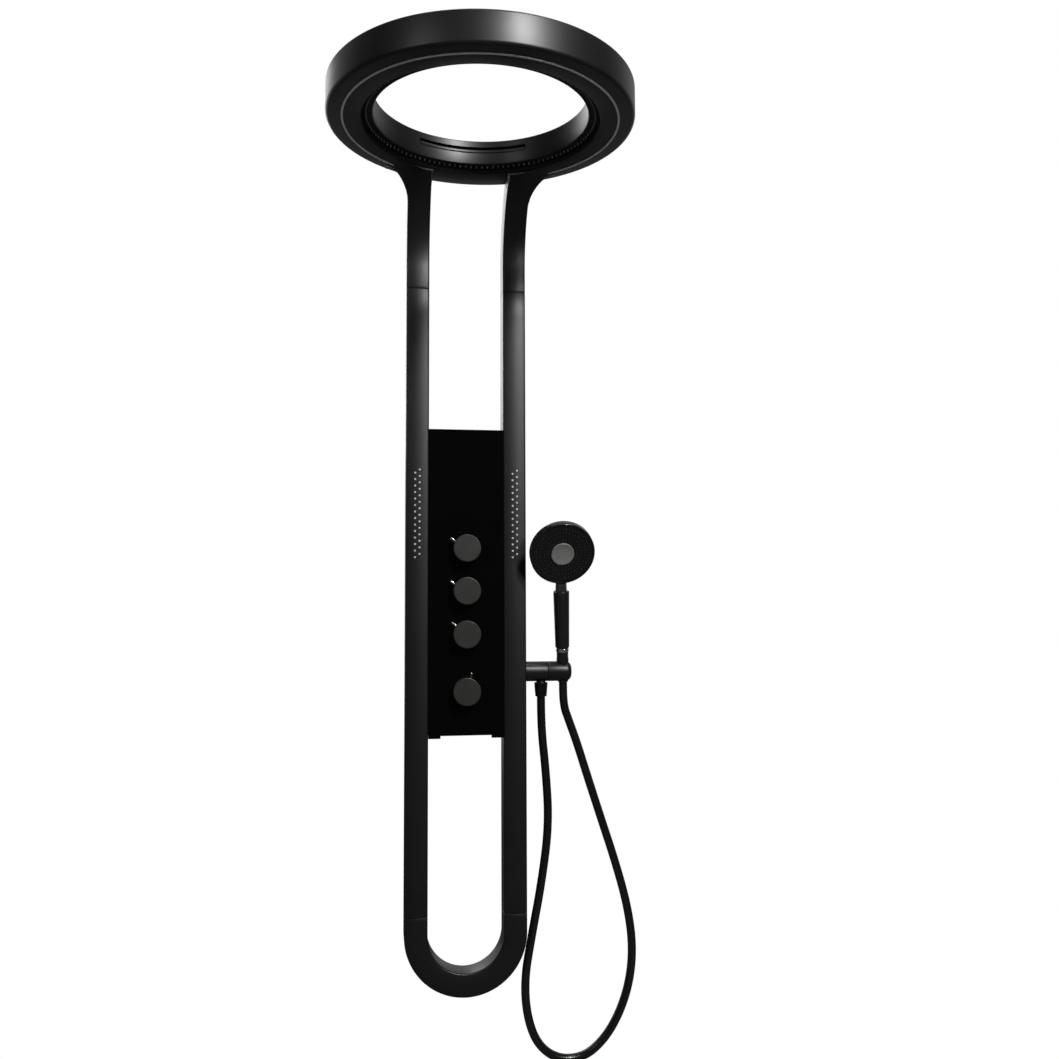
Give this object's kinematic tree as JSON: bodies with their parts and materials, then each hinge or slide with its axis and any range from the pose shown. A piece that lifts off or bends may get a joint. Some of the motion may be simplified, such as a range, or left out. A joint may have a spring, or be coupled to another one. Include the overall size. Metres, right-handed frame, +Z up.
{
  "type": "shower system",
  "caption": "Wall shower column with a ring rain head on two curved necks, a glass control panel, body jets and a handset on a hose.",
  "frame": {"origin": "on the wall, at the middle of the wall bracket's back face, behind the middle of the glass panel", "axes": "+X to the user's right, +Y into the wall, +Z up along the column"},
  "size_m": [0.5103, 0.524, 1.495],
  "materials": {
    "rail_black": "satin",
    "ring_black": "satin",
    "black_glass": "polished",
    "knob_grey": "satin",
    "trim_silver": "satin",
    "bright_chrome": "polished",
    "nozzle_grey": "matt",
    "nozzle_black": "matt",
    "brass": "turned",
    "steel": "brushed",
    "black_plastic": "gloss",
    "grip_black": "satin",
    "white_plastic": "moulded",
    "hose_black": "gloss",
    "seal_black": "matt",
    "spray_face": "gloss"
  },
  "bodies": {
    "root": {"left_rail": "rail_black", "right_rail": "rail_black", "bottom_bend": "rail_black", "rail_connectors": "seal_black", "left_neck": "ring_black", "right_neck": "ring_black", "ring_shell": "ring_black", "ring_face": "ring_black", "trim_ring": "trim_silver", "nozzle_strip": "nozzle_black", "inner_sleeve": "ring_black", "cascade_lip": "ring_black", "rain_chamber": "white_plastic", "cascade_chamber": "black_plastic", "riser_pipes": "steel", "glass_panel": "black_glass", "panel_gasket": "seal_black", "panel_housing": "steel", "wall_bracket": "steel", "rail_screws": "steel", "valve_body": "brass", "valve_cartridges": "white_plastic", "cartridge_nuts": "brass", "spindle_seals": "seal_black", "water_inlets": "brass", "check_valves": "white_plastic", "jet_pipes": "steel", "handset_pipe": "steel", "jet_blocks": "white_plastic", "body_jets": "nozzle_grey", "handset_outlet": "rail_black", "outlet_nut": "brass", "hose_nut": "black_plastic", "shower_hose": "hose_black"},
    "rain_control": {"rain_knob": "knob_grey", "rain_lever": "bright_chrome", "rain_spindle": "brass"},
    "cascade_control": {"cascade_knob": "knob_grey", "cascade_lever": "bright_chrome", "cascade_spindle": "brass"},
    "diverter_control": {"diverter_knob": "knob_grey", "diverter_lever": "bright_chrome", "diverter_spindle": "brass"},
    "temperature_control": {"temperature_knob": "knob_grey", "temperature_lever": "bright_chrome", "temperature_spindle": "brass"},
    "holder": {"holder_swivel": "rail_black"},
    "handset": {"hose_cone": "grip_black", "hose_tail": "hose_black", "end_ring": "bright_chrome", "grip": "grip_black", "collar": "bright_chrome", "core_tube": "white_plastic", "handset_back": "black_plastic", "head_rim": "black_plastic", "spray_plate": "spray_face", "spray_mat": "nozzle_black", "spray_selector": "white_plastic", "button_spring": "seal_black"},
    "button": {"spray_button": "knob_grey"}
  },
  "joints": [
    {"name": "rain_turn", "type": "hinge", "parent": "root", "child": "rain_control", "pos_m": [0, -0.0555, 0.0558], "axis": [0, -1, 0], "range_deg": [0, 90]},
    {"name": "cascade_turn", "type": "hinge", "parent": "root", "child": "cascade_control", "pos_m": [0, -0.0555, -0.0142], "axis": [0, -1, 0], "range_deg": [0, 90]},
    {"name": "diverter_turn", "type": "hinge", "parent": "root", "child": "diverter_control", "pos_m": [0, -0.0555, -0.0852], "axis": [0, -1, 0], "range_deg": [-60, 60]},
    {"name": "temperature_turn", "type": "hinge", "parent": "root", "child": "temperature_control", "pos_m": [0, -0.0555, -0.1782], "axis": [0, -1, 0], "range_deg": [-110, 110]},
    {"name": "holder_tilt", "type": "hinge", "parent": "root", "child": "holder", "pos_m": [0.15, -0.025, -0.1487], "axis": [1, 0, 0], "range_deg": [-10, 15]},
    {"name": "handset_lift", "type": "slide", "parent": "holder", "child": "handset", "axis": [-0.0523, -0.2246, 0.973], "range_m": [0, 0.045]},
    {"name": "button_press", "type": "slide", "parent": "handset", "child": "button", "axis": [-0.0073, 0.9336, 0.3582], "range_m": [0, 0.0025], "stiffness_N_per_m": 2000}
  ]
}
